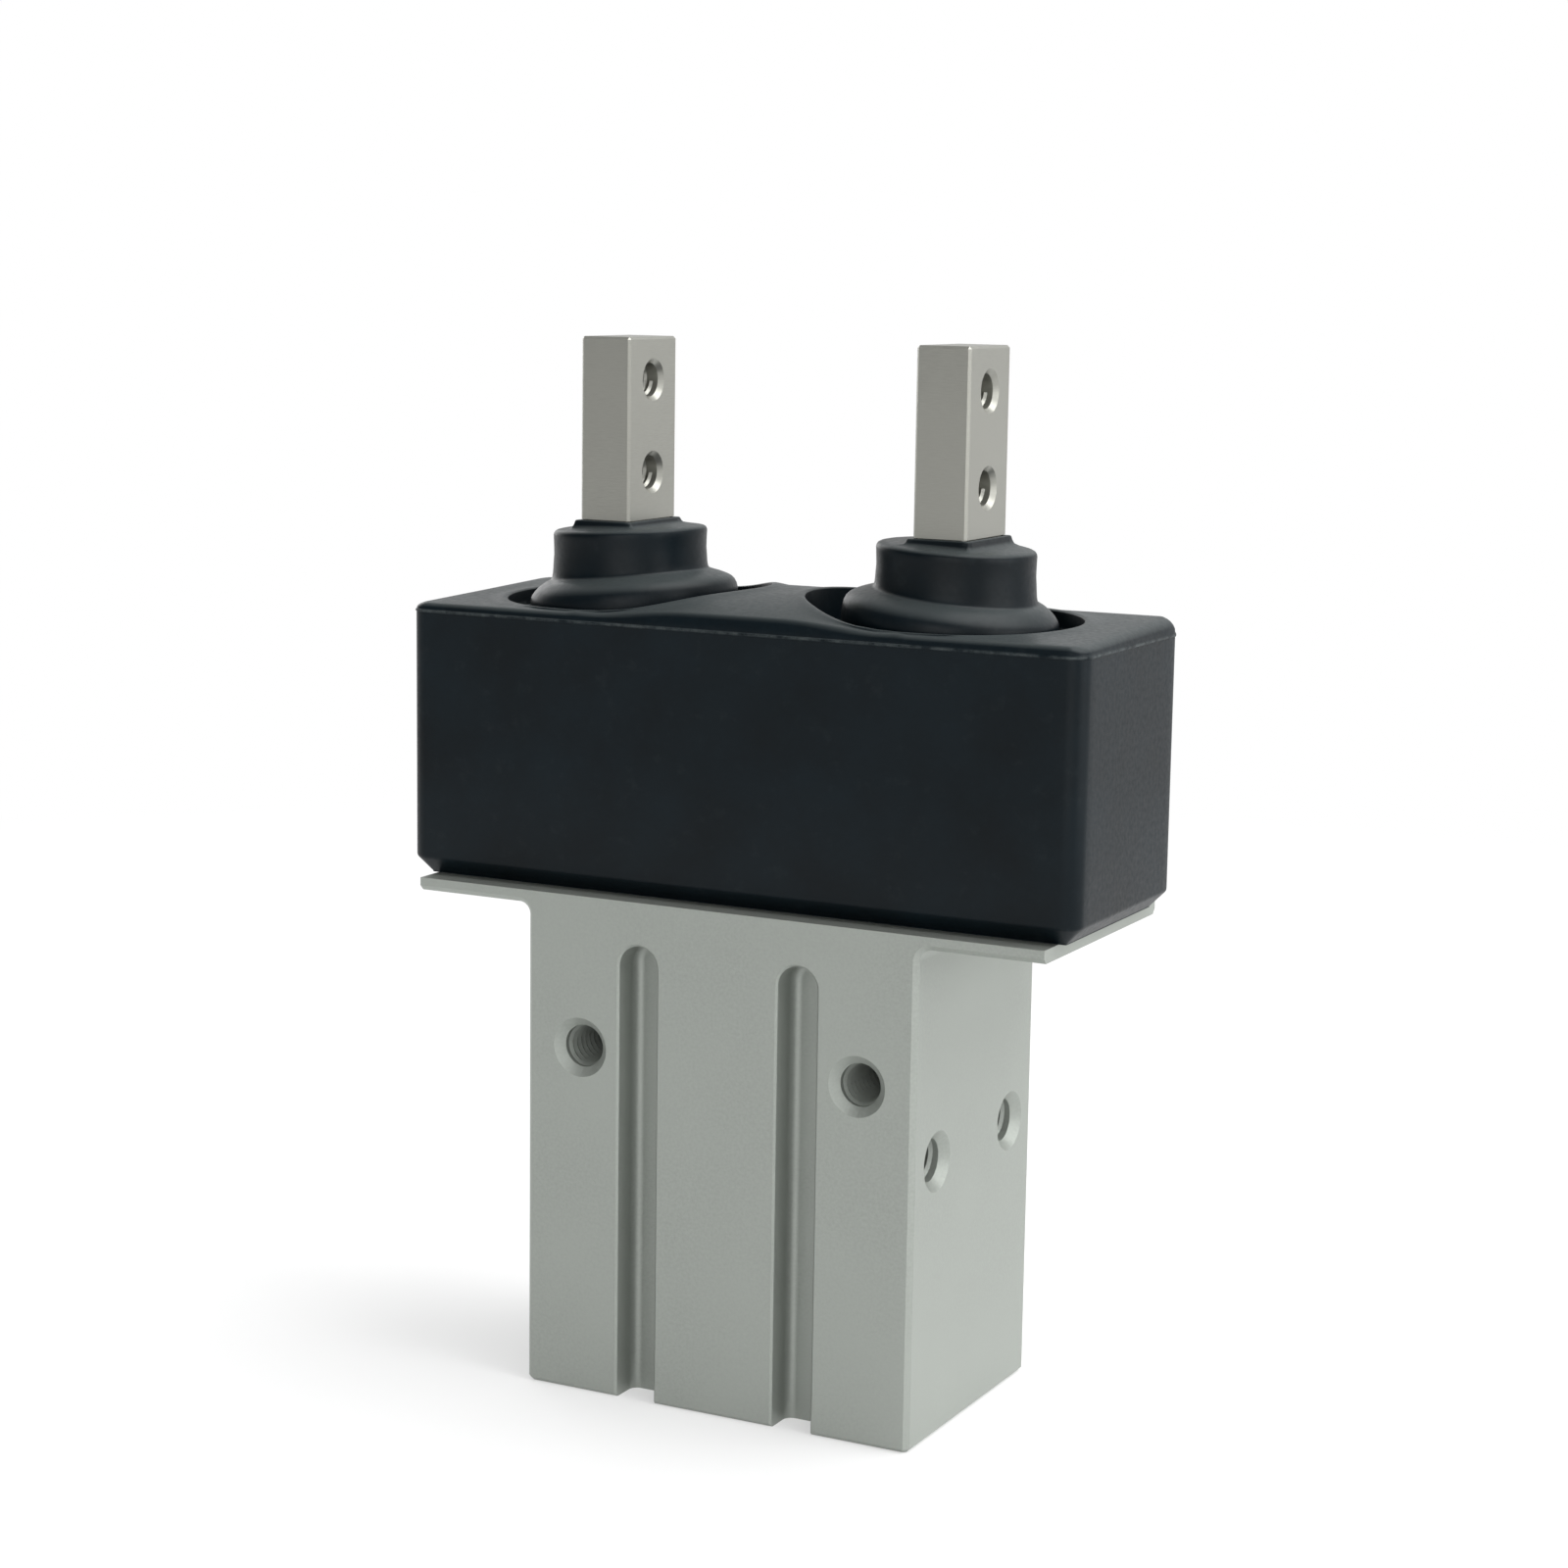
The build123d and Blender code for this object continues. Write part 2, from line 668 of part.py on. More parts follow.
def finger(side):
    """Finger in one piece: a base that runs in the guide, a seat for the collar and a tapped jaw."""
    x, half_w, half_d = finger_open_x, finger_width / 2, finger_depth / 2
    half_base = finger_base_depth / 2
    base = block((base_inner_x, base_outer_x), (-half_base, half_base), (base_bottom, base_top))
    base = chamfer(base.edges().filter_by(Axis.Z), finger_edge)
    jaw = block((x - half_w, x + half_w), (-half_d, half_d), (seat_top, finger_top))
    jaw = chamfer(jaw.edges().filter_by(Axis.Z) + jaw.faces().sort_by(Axis.Z)[-1].edges(), finger_edge)
    seat = block((x - seat_half_width, x + seat_half_width), (-seat_half_depth, seat_half_depth),
                 (base_top - overlap, seat_top))
    shape = base + chamfer(seat.edges().filter_by(Axis.Z), finger_edge) + jaw
    roots = [e for e in shape.edges().filter_by(Axis.Y)
             if abs(e.center().Z - base_top) < near and abs(abs(e.center().X - x) - seat_half_width) < near]
    shape = fillet(roots, base_fillet)
    for facing in (-1, 1):
        y = facing * ball_centre_y
        shape -= along_x(ball_diameter / 2 + ball_clearance, 0, 2 * x, y, ball_centre_z)
    notch_x = lever_pivot_x + finger_stroke / 2
    notch_half = outer_tip + tip_clearance
    notch_top = lever_pivot_height + lever_outer_arm + outer_tip + notch_headroom
    shape -= block((notch_x - notch_half, notch_x + notch_half), (-half_base - past, half_base + past),
                   (base_bottom - past, notch_top))
    for n in range(2):
        z = finger_top - finger_hole_from_top - n * finger_hole_spacing
        shape -= along_x(m4_core / 2, x - finger_width, x + finger_width, 0, z)
        for end in (-1, 1):
            shape -= mouth(m4_mouth, m4_core, (x + end * half_w, 0, z), (end, 0, 0))
    return shape if side > 0 else mirror(shape, about=Plane.YZ)


def oval(centre_x, length, width, bottom, top):
    """A block with round ends, longer along X than along Y."""
    return Pos(centre_x, 0, bottom) * extrude(SlotOverall(length, width), amount=top - bottom)


def recess_in_cover(cover, side):
    """The cover with one bellows' recess sunk into its roof and the finger's slot in its floor."""
    tray_bottom = recess_floor - recess_floor_thickness
    tray = oval(side * recess_x, recess_length + 2 * recess_wall, recess_width + 2 * recess_wall,
                tray_bottom, roof_underside)
    half_x, half_y = cover_half_length - cover_wall, cover_half_depth - cover_wall
    inside = block((-half_x, half_x), (-half_y, half_y), (land_top, cover_top))
    cover += tray & inside
    cover -= oval(side * recess_x, recess_length, recess_width, recess_floor, cover_top + past)
    inner_end = finger_open_x - finger_stroke - finger_width / 2 - stem_clearance
    outer_end = finger_open_x + finger_width / 2 + stem_clearance
    reach = finger_depth / 2 + stem_clearance
    slot = block((inner_end, outer_end), (-reach, reach), (tray_bottom - past, recess_floor + past))
    if side < 0:
        slot = mirror(slot, about=Plane.YZ)
    return cover - slot


def roof_crown():
    """Rise of the roof between the two recesses, curved along X and along Y."""
    half_y = cover_half_depth - cover_top_round
    base, top = cover_end_height - overlap, cover_end_height + cover_crown
    ends = ThreePointArc((-crown_half_length, 0, base), (0, 0, top), (crown_half_length, 0, base))
    sides = ThreePointArc((0, -half_y, base), (0, 0, top), (0, half_y, base))
    chords = (Line((-crown_half_length, 0, base), (crown_half_length, 0, base)),
              Line((0, -half_y, base), (0, half_y, base)))
    along = extrude(make_face([ends, chords[0]]), amount=half_y, both=True)
    across = extrude(make_face([sides, chords[1]]), amount=crown_half_length, both=True)
    return along & across


def dust_cover():
    """Rubber box over the guide, with a lip that the guide clamps and a recess for each bellows."""
    half_x, half_y = cover_half_length, cover_half_depth
    box = block((-half_x, half_x), (-half_y, half_y), (flange_top, cover_end_height))
    box = fillet(box.edges().filter_by(Axis.Z), cover_corner)
    box = chamfer(box.faces().sort_by(Axis.Z)[0].edges(), cover_bottom_bevel)
    box = fillet(box.faces().sort_by(Axis.Z)[-1].edges(), cover_top_round)
    box += roof_crown()
    inner_x, inner_y = half_x - cover_wall, half_y - cover_wall
    box -= block((-inner_x, inner_x), (-inner_y, inner_y), (land_top, roof_underside))
    lip_x, lip_y = land_length / 2 + lip_clearance, land_depth / 2 + lip_clearance
    box -= block((-lip_x, lip_x), (-lip_y, lip_y), (flange_top - past, land_top + past))
    for side in SIDES.values():
        box = recess_in_cover(box, side)
    return box


def bellows_outline():
    """Half of the bellows' outer shape: a rolled fold, a crease and the collar with its crown."""
    foot, fold_top = recess_floor + bellows_gap, collar_bottom - crease_height
    points = [(0, foot), (fold_radius - foot_bevel, foot), (fold_radius, foot + foot_bevel),
              (fold_radius, fold_top), (crease_radius, fold_top), (crease_radius, collar_bottom),
              (collar_radius, collar_bottom), (collar_radius, collar_top), (0, collar_top + collar_crown)]
    face = make_face(Polyline(*[(r, 0, z) for r, z in points], close=True))
    for r, z, radius in ((fold_radius, fold_top, fold_round), (collar_radius, collar_top, collar_round)):
        face = fillet(face.vertices().sort_by_distance((r, 0, z))[0], radius)
    return face


def bellows(side):
    """Folded rubber sleeve with a collar that grips the finger."""
    foot = recess_floor + bellows_gap
    shoulder = collar_bottom - crease_height - bellows_wall
    fold_inner, sleeve_inner = fold_radius - bellows_wall, crease_radius - bellows_wall
    roof = collar_top - collar_roof
    shape = revolve(bellows_outline(), Axis.Z)
    shape -= turned([(0, foot - past), (fold_inner, foot - past), (fold_inner, shoulder),
                     (sleeve_inner, shoulder), (sleeve_inner, roof), (0, roof)])
    half_w, half_d = seat_half_width + collar_fit, seat_half_depth + collar_fit
    shape -= block((-half_w, half_w), (-half_d, half_d), (roof - past, collar_top + collar_crown + past))
    return Pos(side * finger_open_x, 0, 0) * shape


def sub_parts():
    """Every sub-part by name."""
    found = {
        "body": body(),
        "end_cap": end_cap(),
        "end_cap_o_ring": end_cap_o_ring(),
        "retaining_ring": retaining_ring(),
        "head_bumper": head_bumper(),
        "rod_bumper": rod_bumper(),
        "rod_seal": rod_seal(),
        "rod_seal_retainer": rod_seal_retainer(),
        "piston": piston(),
        "piston_seal": piston_seal(),
        "magnet": magnet(),
        "piston_rod": piston_rod(),
        "piston_screw": piston_screw(),
        "finger_guide": finger_guide(),
        "guide_screws": guide_screws(),
        "ball_stop_pins": ball_stop_pins(),
        "dust_cover": dust_cover(),
    }
    for name, side in SIDES.items():
        found[f"lever_{name}"] = lever(side)
        found[f"lever_shaft_{name}"] = lever_shaft(side)
        found[f"finger_{name}"] = finger(side)
        found[f"balls_{name}"] = balls(side)
        found[f"bellows_{name}"] = bellows(side)
    return found


os.makedirs(OUT, exist_ok=True)
for node, shape in sub_parts().items():
    export_step(shape, f"{OUT}/{node}.step")
print("travel of the rod", round(rod_travel, 4), "swing of a lever", round(2 * swing, 4))
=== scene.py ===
import math

import bmesh
import bpy
from bpy.props import FloatProperty, FloatVectorProperty, IntProperty, PointerProperty
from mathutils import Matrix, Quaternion, Vector


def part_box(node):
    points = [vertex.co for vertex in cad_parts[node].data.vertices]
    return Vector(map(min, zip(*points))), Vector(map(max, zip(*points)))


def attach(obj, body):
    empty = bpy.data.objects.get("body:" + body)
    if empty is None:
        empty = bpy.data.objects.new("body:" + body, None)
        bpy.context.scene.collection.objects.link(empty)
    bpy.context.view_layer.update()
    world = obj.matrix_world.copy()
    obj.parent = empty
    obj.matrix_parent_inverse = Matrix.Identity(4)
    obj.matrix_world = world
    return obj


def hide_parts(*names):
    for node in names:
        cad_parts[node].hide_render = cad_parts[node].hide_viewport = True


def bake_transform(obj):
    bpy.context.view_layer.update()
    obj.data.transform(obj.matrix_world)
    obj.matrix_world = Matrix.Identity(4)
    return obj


bl_info = {
    "name": "Parallel gripper with dust cover",
    "version": (1, 0, 0),
    "blender": (4, 5, 0),
    "location": "3D View > Sidebar > Gripper",
    "description": "Dresses the packed gripper with its rubber cover, bellows, threads, finishes and stage",
    "category": "Object",
}

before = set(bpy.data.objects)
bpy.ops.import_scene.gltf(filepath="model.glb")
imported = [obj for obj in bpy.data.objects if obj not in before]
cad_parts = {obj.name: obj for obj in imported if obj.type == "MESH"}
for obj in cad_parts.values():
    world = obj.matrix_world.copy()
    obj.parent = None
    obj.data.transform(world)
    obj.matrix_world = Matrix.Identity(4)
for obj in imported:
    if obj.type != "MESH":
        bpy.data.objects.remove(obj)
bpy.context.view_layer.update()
MM = 0.001
SIDES = {"left": -1, "right": 1}


def mm_size(name, description, default):
    """A length that a user would change, given in millimetres."""
    return FloatProperty(name=name, description=description, default=default * MM, unit="LENGTH", precision=5)


def colour(name, description, default):
    """A linear colour that a user would change."""
    return FloatVectorProperty(name=name, description=description, default=default, size=3, min=0.0, max=1.0,
                               subtype="COLOR")


class GripperCoverSizes(bpy.types.PropertyGroup):
    """Sizes of the dust cover's moulded details."""
    crown: mm_size("Crown", "How much higher the roof is between the recesses than at the ends", 1.89)
    crown_near: mm_size("Crown start", "Distance from the middle up to which the crown keeps its height", 5.0)
    crown_far: mm_size("Crown end", "Distance from the middle at which the crown has run out", 17.0)
    crown_power: FloatProperty(name="Crown shape", description="How bluntly the crown falls from front to back",
                               default=2.5, min=1.0, max=4.0)
    crown_shift: mm_size("Crown shift", "How far the crown lies in front of the middle", 0.8)
    skew_x: mm_size("Skew along", "How much higher the roof sits at the end with the ports than in the middle", 0.09)
    skew_y: mm_size("Skew across", "How much higher the roof sits at the back than in the middle", 0.35)
    end_sink: mm_size("End sink", "How far the roof's ends lie under the packed cover's top", 2.29)
    corner: mm_size("Corner", "Radius of the upright corners", 1.8)
    edge: mm_size("Roof edge", "How far the rounded roof edge reaches in at the front and the back", 0.75)
    end_edge: mm_size("Roof edge at the ends", "How far the rounded roof edge reaches in at the ends", 1.75)
    bead_height: mm_size("Bead height", "Height of the parting bead below the roof", 0.3)
    bead: mm_size("Bead", "How far the parting bead stands out", 0.09)
    bead_drop: mm_size("Bead drop", "Distance from the roof's end height down to the bead", 1.24)
    bevel: mm_size("Bottom bevel", "Bevel over the flange", 1.6)
    wall: mm_size("Wall", "Thickness of the rubber wall", 1.7)
    recess_x: mm_size("Recess place", "Distance of each recess from the middle", 16.83)
    recess_radius: mm_size("Recess radius", "Radius of the recess's outer end and half of its width", 10.7)
    recess_reach: mm_size("Recess reach", "Length of the recess's inner end", 11.6)
    recess_power: FloatProperty(name="Recess power", description="How blunt the recess's inner end is",
                                default=1.82, min=1.0, max=4.0)
    recess_straight: mm_size("Recess straight", "Half of the straight length of the recess", 2.52)
    recess_lip: mm_size("Recess lip", "How far the lip round the recess stands over the roof", 0.18)
    lip_width: mm_size("Lip width", "Width of the lip round the recess", 1.6)
    recess_sink: mm_size("Recess sink", "Depth of the recess's floor below the roof's end height", 1.7)


class GripperBellowsSizes(bpy.types.PropertyGroup):
    """Sizes of the two bellows."""
    fold_radius: mm_size("Fold radius", "Outer radius of the rolled fold", 10.3)
    fold_shift: mm_size("Fold shift", "How far the fold's centre lags behind the finger", 0.8)
    collar_radius: mm_size("Collar radius", "Radius of the collar at its rim", 7.6)
    collar_shift: mm_size("Collar shift", "How far the collar's centre lies inwards of the finger's", 0.28)
    waist: mm_size("Waist", "How far the collar's wall pulls in", 0.06)
    collar_foot: mm_size("Collar foot", "Height of the collar's lower edge over the web", 4.0)
    collar_rim: mm_size("Collar rim", "Height of the collar's upper edge over the web", 8.65)
    tilt: FloatProperty(name="Tilt", description="Slope of the collar's lower edge", default=0.1,
                        subtype="ANGLE")
    rings: IntProperty(name="Segments", description="Segments round each bellows", default=96, min=24)


class GripperThreadSizes(bpy.types.PropertyGroup):
    """Sizes of the thread ridges in the tapped holes."""
    large_core: mm_size("Large core", "Core diameter of the large thread", 4.2)
    large_pitch: mm_size("Large pitch", "Pitch of the large thread", 0.8)
    small_core: mm_size("Small core", "Core diameter of the small thread", 3.3)
    small_pitch: mm_size("Small pitch", "Pitch of the small thread", 0.7)
    height: mm_size("Ridge", "How far a ridge stands into the hole", 0.22)


class GripperColours(bpy.types.PropertyGroup):
    """Colours of the finishes."""
    body: colour("Body", "Anodised casting", (0.292, 0.312, 0.288))
    finger: colour("Fingers", "Ground stainless steel", (0.3, 0.3, 0.272))
    rubber: colour("Rubber", "Moulded nitrile rubber", (0.002, 0.0052, 0.0075))
    # dust colour, also used for the painted sheen on the rubber's upward faces and the painted highlight along the
    # parting bead
    dust_and_sheen: colour("Dust", "Bloom on the rubber's upward faces", (0.13, 0.15, 0.15))
    floor: colour("Floor", "Plain pale floor", (0.9, 0.9, 0.9))


class Nodes:
    """A material's node tree with short ways to add and link nodes."""

    def __init__(self, name):
        self.material = bpy.data.materials.new(name)
        self.material.use_nodes = True
        self.tree = self.material.node_tree
        self.shader = self.tree.nodes["Principled BSDF"]
        self.place = self.add("ShaderNodeTexCoord").outputs["Object"]

    def add(self, kind, **settings):
        """A new node with its own settings."""
        node = self.tree.nodes.new(kind)
        for key, value in settings.items():
            setattr(node, key, value)
        return node

    def link(self, out, into):
        """A link between two sockets."""
        self.tree.links.new(out, into)

    def mapped(self, scale=(1, 1, 1)):
        """Object coordinates stretched along the axes."""
        node = self.add("ShaderNodeMapping")
        node.inputs["Scale"].default_value = scale
        self.link(self.place, node.inputs["Vector"])
        return node.outputs["Vector"]

    def noise(self, scale, detail=4.0, rough=0.55, vector=None):
        """Fractal noise; scale counts features per metre."""
        node = self.add("ShaderNodeTexNoise")
        node.inputs["Scale"].default_value = scale
        node.inputs["Detail"].default_value = detail
        node.inputs["Roughness"].default_value = rough
        self.link(vector or self.place, node.inputs["Vector"])
        return node.outputs["Fac"]

    def spread(self, value, low, high, lowest=0.3, highest=0.7):
        """A value from one range mapped to another."""
        node = self.add("ShaderNodeMapRange")
        for key, number in (("From Min", lowest), ("From Max", highest), ("To Min", low), ("To Max", high)):
            node.inputs[key].default_value = number
        self.link(value, node.inputs["Value"])
        return node.outputs["Result"]

    def ramp(self, value, first, second, low=0.3, high=0.7):
        """A colour between two colours."""
        node = self.add("ShaderNodeValToRGB")
        for stop, place, rgb in zip(node.color_ramp.elements, (low, high), (first, second)):
            stop.position = place
            stop.color = (*rgb, 1.0)
        self.link(value, node.inputs["Fac"])
        return node.outputs["Color"]

    def mix(self, factor, first, second):
        """A blend of two colours; each is a socket or a colour."""
        node = self.add("ShaderNodeMix", data_type="RGBA")
        self.link(factor, node.inputs[0])
        for socket, rgb in ((node.inputs[6], first), (node.inputs[7], second)):
            if isinstance(rgb, bpy.types.NodeSocket):
                self.link(rgb, socket)
            else:
                socket.default_value = (*rgb, 1.0)
        return node.outputs[2]

    def bump(self, height, strength, distance):
        """Bump from a height, in metres."""
        node = self.add("ShaderNodeBump")
        node.inputs["Strength"].default_value = strength
        node.inputs["Distance"].default_value = distance
        self.link(height, node.inputs["Height"])
        self.link(node.outputs["Normal"], self.shader.inputs["Normal"])

    def level(self, height, reach):
        """1 at a height, falling to 0 at a distance above and below it."""
        split = self.add("ShaderNodeSeparateXYZ")
        self.link(self.place, split.inputs["Vector"])
        above = self.add("ShaderNodeMath", operation="SUBTRACT")
        above.inputs[1].default_value = height
        self.link(split.outputs["Z"], above.inputs[0])
        apart = self.add("ShaderNodeMath", operation="ABSOLUTE")
        self.link(above.outputs["Value"], apart.inputs[0])
        return self.spread(apart.outputs["Value"], 1.0, 0.0, 0.0, reach)

    def upward(self):
        """How far a face looks up, from 0 at level to 1."""
        geometry = self.add("ShaderNodeNewGeometry")
        split = self.add("ShaderNodeSeparateXYZ")
        self.link(geometry.outputs["Normal"], split.inputs["Vector"])
        return split.outputs["Z"]


def shade(rgb, factor):
    """A colour made lighter or darker."""
    return tuple(min(1.0, c * factor) for c in rgb)


def satin_metal(name, rgb, metallic=1.0, rough=(0.36, 0.5), grain=2600.0, stretch=(1, 1, 1), depth=0.000006,
                contrast=0.06):
    """Metal with a fine grain, a cloudy tone and a grain that may run one way."""
    nodes = Nodes(name)
    cloud = nodes.noise(60.0, 3.0, 0.5)
    fine = nodes.noise(grain, 3.0, 0.6, nodes.mapped(stretch))
    base = nodes.ramp(cloud, shade(rgb, 1 - contrast), shade(rgb, 1 + contrast))
    speck = nodes.mix(nodes.spread(fine, 0.0, 1.0), base, shade(rgb, 1 + 2 * contrast))
    nodes.link(speck, nodes.shader.inputs["Base Color"])
    nodes.link(nodes.spread(fine, rough[0], rough[1]), nodes.shader.inputs["Roughness"])
    nodes.shader.inputs["Metallic"].default_value = metallic
    nodes.bump(fine, 0.35, depth)
    return nodes.material


def moulded_rubber(name, rgb, dust_and_sheen_colour, dust_and_sheen=0.3, seam=None):
    """Matt rubber with fine mould texture, faint dust marks, pale dust and a painted sheen where it looks up, and a
    painted highlight along a seam's height.
    """
    nodes = Nodes(name)
    cloud = nodes.noise(90.0, 5.0, 0.6)
    fine = nodes.noise(1900.0, 4.0, 0.6)
    marks = nodes.noise(420.0, 6.0, 0.75)
    base = nodes.ramp(cloud, shade(rgb, 0.7), shade(rgb, 1.4))
    faint = nodes.mix(nodes.spread(marks, 0.0, 0.03, 0.56, 0.74), base, dust_and_sheen_colour)
    # lighter towards upward faces: pale dust together with a painted sheen for light falling from above
    lit = nodes.spread(nodes.upward(), 0.0, dust_and_sheen, 0.45, 0.95)
    colour = nodes.mix(lit, faint, dust_and_sheen_colour)
    # painted highlight: a pale, broken line at the parting bead's height, standing in for the light the bead catches
    # from above
    if seam:
        painted_seam_highlight = nodes.add("ShaderNodeMath", operation="MULTIPLY")
        nodes.link(nodes.level(seam, 0.00022), painted_seam_highlight.inputs[0])
        nodes.link(nodes.spread(marks, 0.0, 0.38, 0.4, 0.6), painted_seam_highlight.inputs[1])
        colour = nodes.mix(painted_seam_highlight.outputs["Value"], colour, dust_and_sheen_colour)
    nodes.link(colour, nodes.shader.inputs["Base Color"])
    nodes.link(nodes.spread(fine, 0.34, 0.46), nodes.shader.inputs["Roughness"])
    nodes.shader.inputs["Specular IOR Level"].default_value = 0.145
    nodes.bump(fine, 0.3, 0.00002)
    return nodes.material


def outline(half_x, half_y, corner, steps):
    """Half of a round-cornered rectangle, closed along the middle plane: places with their outward directions."""
    side, arc, end, middle = steps
    long_x, long_y = half_x - corner, half_y - corner
    quarter = [math.pi / 2 * k / arc for k in range(arc)]
    points = [(long_x * k / side, -half_y, 0, -1) for k in range(side)]
    points += [(long_x + corner * math.sin(a), -long_y - corner * math.cos(a), math.sin(a), -math.cos(a))
               for a in quarter]
    points += [(half_x, long_y * (2 * k / end - 1), 1, 0) for k in range(end)]
    points += [(long_x + corner * math.cos(a), long_y + corner * math.sin(a), math.cos(a), math.sin(a))
               for a in quarter]
    points += [(long_x * (1 - k / side), half_y, 0, 1) for k in range(side)]
    return points + [(0.0, half_y * (1 - 2 * k / middle), 0, 1 - 2 * k / middle) for k in range(middle)]


def radial(directions, centre, radius, straight=0.0, power=2.0, radius_y=None):
    """A round, long or rectangular ring whose points lie in the given directions from a centre."""
    points = []
    for dx, dy in directions:
        a, b = abs(dx) / radius, abs(dy) / (radius_y or radius)
        reach = (a ** power + b ** power) ** (-1 / power)
        points.append((centre + dx * reach + math.copysign(straight, dx) * min(1.0, abs(dx) * 6), dy * reach))
    return points


def recess_ring(sizes, directions, grow=0.0):
    """The plan of a recess grown by a length: round at its outer end and drawn out towards the middle."""
    wide = sizes.recess_radius + grow
    inner = radial(directions, sizes.recess_x, sizes.recess_reach + grow, sizes.recess_straight,
                   sizes.recess_power, wide)
    outer = radial(directions, sizes.recess_x, wide, sizes.recess_straight)
    return [a if dx < 0 else b for a, b, (dx, dy) in zip(inner, outer, directions)]


class Rings:
    """A surface grown ring by ring: each ring is extruded from the last and its points are moved into place."""

    def __init__(self, points, height):
        self.bm = bmesh.new()
        made = bmesh.ops.create_circle(self.bm, cap_ends=False, radius=1.0, segments=len(points))
        self.first = self.last = made["verts"]
        self.place(points, height)

    def place(self, points, height):
        """Moves the last ring's points to their places."""
        for vert, (x, y) in zip(self.last, points):
            vert.co = Vector((x, y, height(x, y) if callable(height) else height))

    def grow(self, points, height):
        """Extrudes the last ring and moves the new one into place."""
        self.last = self.extruded()
        self.place(points, height)

    def extruded(self):
        """The new ring's points, in the order of the last one's."""
        ring = self.last
        edges = [self.bm.edges.get((ring[k - 1], ring[k])) for k in range(len(ring))]
        made = bmesh.ops.extrude_edge_only(self.bm, edges=edges)["geom"]
        new = {v for v in made if isinstance(v, bmesh.types.BMVert)}
        return [next(e.other_vert(v) for e in v.link_edges if e.other_vert(v) in new) for v in ring]

    def close(self):
        """Joins the last ring to the first."""
        edges = [self.bm.edges.get((ring[k - 1], ring[k])) for ring in (self.first, self.last)
                 for k in range(len(ring))]
        bmesh.ops.bridge_loops(self.bm, edges=edges)

    def finish(self, name, sharp):
        """The ring surface as a smooth object whose edges over an angle stay crisp."""
        bmesh.ops.remove_doubles(self.bm, verts=self.bm.verts, dist=1e-7)
        bmesh.ops.recalc_face_normals(self.bm, faces=self.bm.faces)
        return smooth_object(self.bm, name, sharp)


def smooth_object(bm, name, sharp):
    """A bmesh as an object, smooth but for edges over an angle."""
    for face in bm.faces:
        face.smooth = True
    for edge in bm.edges:
        if len(edge.link_faces) == 2:
            edge.smooth = edge.calc_face_angle() < math.radians(sharp)
    mesh = bpy.data.meshes.new(name)
    bm.to_mesh(mesh)
    bm.free()
    made = bpy.data.objects.new(name, mesh)
    bpy.context.scene.collection.objects.link(made)
    return made


